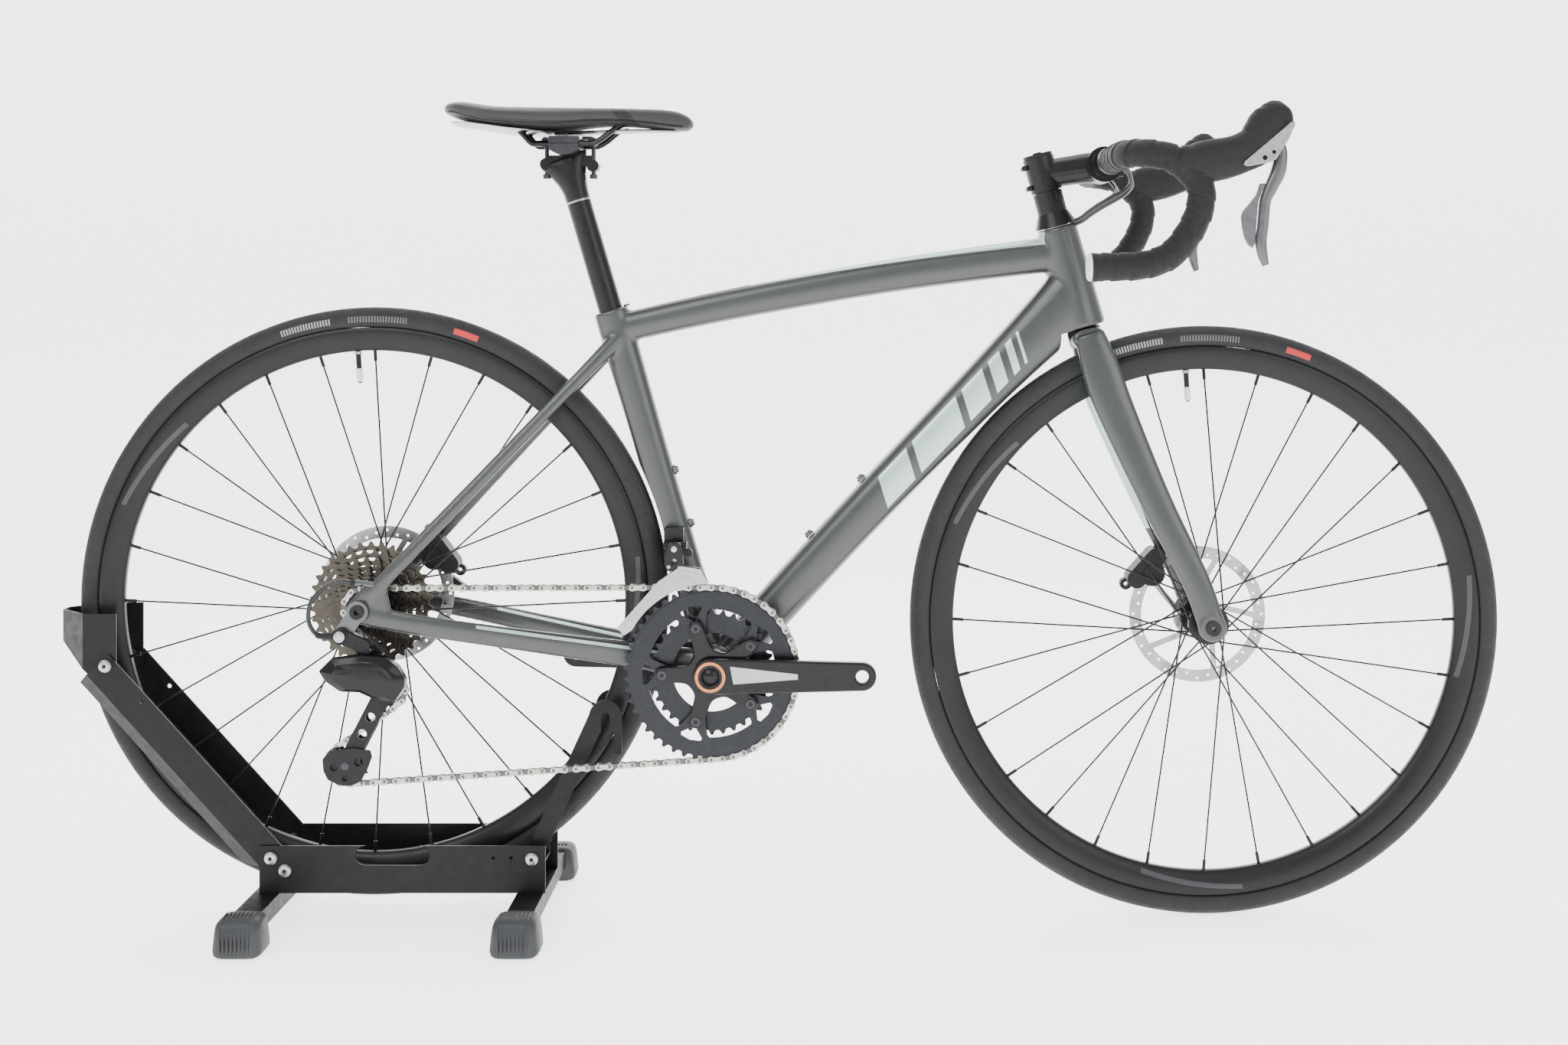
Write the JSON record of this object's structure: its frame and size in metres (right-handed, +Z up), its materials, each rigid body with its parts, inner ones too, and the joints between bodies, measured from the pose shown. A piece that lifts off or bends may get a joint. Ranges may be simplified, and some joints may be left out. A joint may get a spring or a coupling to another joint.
{
  "type": "bicycle on stand",
  "caption": "Road bicycle with drop handlebar and disc brakes, held upright by its rear wheel in a folding steel floor stand.",
  "frame": {"origin": "on the floor, under the middle of the assembly's bounding box", "axes": "+X towards the front wheel, +Y towards the non-drive side, +Z up"},
  "size_m": [1.656, 0.4364, 0.9358],
  "materials": {
    "frame_paint": "satin metallic grey paint",
    "stand_steel": "black powder coat",
    "foot_plastic": "grey ribbed plastic",
    "bolt_steel": "zinc plated",
    "alloy_black": "black anodised",
    "alloy_grey": "dark grey anodised",
    "alloy_silver": "bright",
    "chain_steel": "plated steel",
    "rotor_steel": "ground steel",
    "tyre_rubber": "smooth rubber tread",
    "hood_rubber": "matte rubber",
    "tape_rubber": "wrapped foam tape",
    "pad_compound": "pressed friction compound",
    "hose_rubber": "satin sleeve",
    "saddle_cover": "matte synthetic cover",
    "saddle_shell": "moulded shell and coated rails",
    "lever_resin": "dark grey lever"
  },
  "bodies": {
    "stand": {"stand_base": "stand_steel", "stand_cross_tubes": "stand_steel", "stand_feet": "foot_plastic", "stand_rear_arm": "stand_steel", "stand_wheel_cup": "stand_steel", "stand_bolts": "bolt_steel"},
    "front_guide": {"stand_front_guide": "stand_steel"},
    "frame": {"frame": "frame_paint", "bearings": "bolt_steel", "frame_hardware": "bolt_steel", "rear_axle": "alloy_black", "rear_caliper": "alloy_black", "derailleur_clamp": "alloy_black", "shift_cable": "hose_rubber", "chain": "chain_steel", "derailleur_knuckle": "alloy_black"},
    "rear_pad_l": {"rear_pad_left": "pad_compound"},
    "rear_pad_r": {"rear_pad_right": "pad_compound"},
    "fd_cage": {"chain_guide_cage": "alloy_silver"},
    "fork": {"fork": "frame_paint", "headset_spacers": "alloy_black", "stem": "alloy_black", "stem_bolts": "bolt_steel", "handlebar": "alloy_black", "bar_tape": "tape_rubber", "lever_hoods": "hood_rubber", "brake_hoses": "hose_rubber", "front_caliper": "alloy_black", "front_axle": "alloy_black"},
    "front_pad_l": {"front_pad_left": "pad_compound"},
    "front_pad_r": {"front_pad_right": "pad_compound"},
    "lever_r": {"brake_lever_right": "lever_resin"},
    "lever_l": {"brake_lever_left": "lever_resin"},
    "paddle_r": {"shift_paddle_right": "lever_resin"},
    "paddle_l": {"shift_paddle_left": "lever_resin"},
    "front_wheel": {"front_tyre": "tyre_rubber", "front_rim": "alloy_black", "front_spokes": "bolt_steel", "front_hub": "alloy_black", "front_rotor": "rotor_steel"},
    "rear_wheel": {"rear_tyre": "tyre_rubber", "rear_rim": "alloy_black", "rear_spokes": "bolt_steel", "rear_hub": "alloy_black", "rear_rotor": "rotor_steel"},
    "cassette": {"cassette": "chain_steel"},
    "crank": {"crank_right": "alloy_black", "crank_left": "alloy_black", "big_chainring": "alloy_grey", "small_chainring": "alloy_grey"},
    "rd_outer": {"outer_link": "alloy_grey"},
    "rd_inner": {"inner_link": "alloy_grey"},
    "rd_knuckle": {"derailleur_cage_knuckle": "alloy_black"},
    "rd_cage": {"pulley_cage": "alloy_black"},
    "guide_pulley": {"guide_pulley": "hood_rubber"},
    "tension_pulley": {"tension_pulley": "hood_rubber"},
    "seatpost": {"seatpost": "alloy_black", "seat_clamp": "alloy_grey"},
    "saddle": {"saddle_pad": "saddle_cover", "saddle_base": "saddle_shell"}
  },
  "joints": [
    {"name": "bike_lift", "type": "slide", "parent": "stand", "child": "frame", "axis": [0, 0, 1], "range_m": [0, 0.3]},
    {"name": "guide_fold", "type": "hinge", "parent": "stand", "child": "front_guide", "pos_m": [-0.281, 0, 0.0765], "axis": [0, 1, 0], "range_deg": [-25, 32]},
    {"name": "steer", "type": "hinge", "parent": "frame", "child": "fork", "pos_m": [0.3335, 0, 0.73566], "axis": [-0.2554, 0, 0.9668], "range_deg": [-45, 45]},
    {"name": "front_wheel_spin", "type": "hinge", "parent": "fork", "child": "front_wheel", "pos_m": [0.488, 0, 0.34], "axis": [0, 1, 0], "continuous": true},
    {"name": "rear_wheel_spin", "type": "hinge", "parent": "frame", "child": "rear_wheel", "pos_m": [-0.47, 0, 0.3616], "axis": [0, 1, 0], "continuous": true},
    {"name": "crank_spin", "type": "hinge", "parent": "frame", "child": "crank", "pos_m": [-0.077, 0, 0.288], "axis": [0, 1, 0], "continuous": true, "deforming": ["chain"]},
    {"name": "cassette_spin", "type": "hinge", "parent": "frame", "child": "cassette", "pos_m": [-0.47, 0, 0.3616], "axis": [0, 1, 0], "continuous": true},
    {"name": "guide_pulley_spin", "type": "hinge", "parent": "rd_cage", "child": "guide_pulley", "pos_m": [-0.445, -0.054, 0.2696], "axis": [0, 1, 0], "continuous": true},
    {"name": "tension_pulley_spin", "type": "hinge", "parent": "rd_cage", "child": "tension_pulley", "pos_m": [-0.4885, -0.054, 0.1856], "axis": [0, 1, 0], "continuous": true},
    {"name": "rear_shift", "type": "hinge", "parent": "frame", "child": "rd_outer", "pos_m": [-0.455, -0.0728, 0.313], "axis": [0.866, 0, 0.5], "range_deg": [0, 56], "stiffness_Nm_per_rad": 0.3},
    {"name": "rear_shift_inner", "type": "hinge", "parent": "frame", "child": "rd_inner", "pos_m": [-0.455, -0.0618, 0.313], "axis": [0.866, 0, 0.5], "range_deg": [0, 56]},
    {"name": "rear_shift_knuckle", "type": "hinge", "parent": "rd_outer", "child": "rd_knuckle", "pos_m": [-0.44003, -0.0962, 0.28707], "axis": [0.866, 0, 0.5], "range_deg": [-56, 0]},
    {"name": "chain_tensioner", "type": "hinge", "parent": "rd_knuckle", "child": "rd_cage", "pos_m": [-0.43223, -0.06, 0.27356], "axis": [0, 1, 0], "range_deg": [-40, 12], "stiffness_Nm_per_rad": 0.4},
    {"name": "front_shift", "type": "hinge", "parent": "frame", "child": "fd_cage", "pos_m": [-0.119, -0.044, 0.43], "axis": [1, 0, 0], "range_deg": [0, 8], "stiffness_Nm_per_rad": 0.3},
    {"name": "brake_right", "type": "hinge", "parent": "fork", "child": "lever_r", "pos_m": [0.52126, -0.2, 0.86329], "axis": [0, 1, 0], "range_deg": [0, 20], "stiffness_Nm_per_rad": 0.5},
    {"name": "brake_left", "type": "hinge", "parent": "fork", "child": "lever_l", "pos_m": [0.52126, 0.2, 0.86329], "axis": [0, 1, 0], "range_deg": [0, 20], "stiffness_Nm_per_rad": 0.5},
    {"name": "paddle_right", "type": "hinge", "parent": "lever_r", "child": "paddle_r", "pos_m": [0.52126, -0.2, 0.82529], "axis": [1, 0, 0], "range_deg": [0, 14], "stiffness_Nm_per_rad": 0.1},
    {"name": "paddle_left", "type": "hinge", "parent": "lever_l", "child": "paddle_l", "pos_m": [0.52126, 0.2, 0.82529], "axis": [-1, 0, 0], "range_deg": [0, 14], "stiffness_Nm_per_rad": 0.1},
    {"name": "rear_pad_left_slide", "type": "slide", "parent": "frame", "child": "rear_pad_l", "axis": [0, -1, 0], "range_m": [0, 0.00025]},
    {"name": "rear_pad_right_slide", "type": "slide", "parent": "frame", "child": "rear_pad_r", "axis": [0, 1, 0], "range_m": [0, 0.00025]},
    {"name": "front_pad_left_slide", "type": "slide", "parent": "fork", "child": "front_pad_l", "axis": [0, -1, 0], "range_m": [0, 0.00025]},
    {"name": "front_pad_right_slide", "type": "slide", "parent": "fork", "child": "front_pad_r", "axis": [0, 1, 0], "range_m": [0, 0.00025]},
    {"name": "seatpost_height", "type": "slide", "parent": "frame", "child": "seatpost", "axis": [-0.2823, 0, 0.9593], "range_m": [-0.06, 0.03]},
    {"name": "saddle_fore_aft", "type": "slide", "parent": "seatpost", "child": "saddle", "axis": [1, 0, 0], "range_m": [-0.01, 0.01]}
  ],
  "couplings": [
    {"joint": "cassette_spin", "follows": "crank_spin", "ratio": 4.3636},
    {"joint": "guide_pulley_spin", "follows": "crank_spin", "ratio": -4.3636},
    {"joint": "tension_pulley_spin", "follows": "crank_spin", "ratio": 4.3636},
    {"joint": "rear_shift_inner", "follows": "rear_shift", "ratio": 1},
    {"joint": "rear_shift_knuckle", "follows": "rear_shift", "ratio": -1},
    {"joint": "rear_pad_left_slide", "follows": "brake_right", "m_per_rad": 0.000716},
    {"joint": "rear_pad_right_slide", "follows": "brake_right", "m_per_rad": 0.000716},
    {"joint": "front_pad_left_slide", "follows": "brake_left", "m_per_rad": 0.000716},
    {"joint": "front_pad_right_slide", "follows": "brake_left", "m_per_rad": 0.000716}
  ]
}
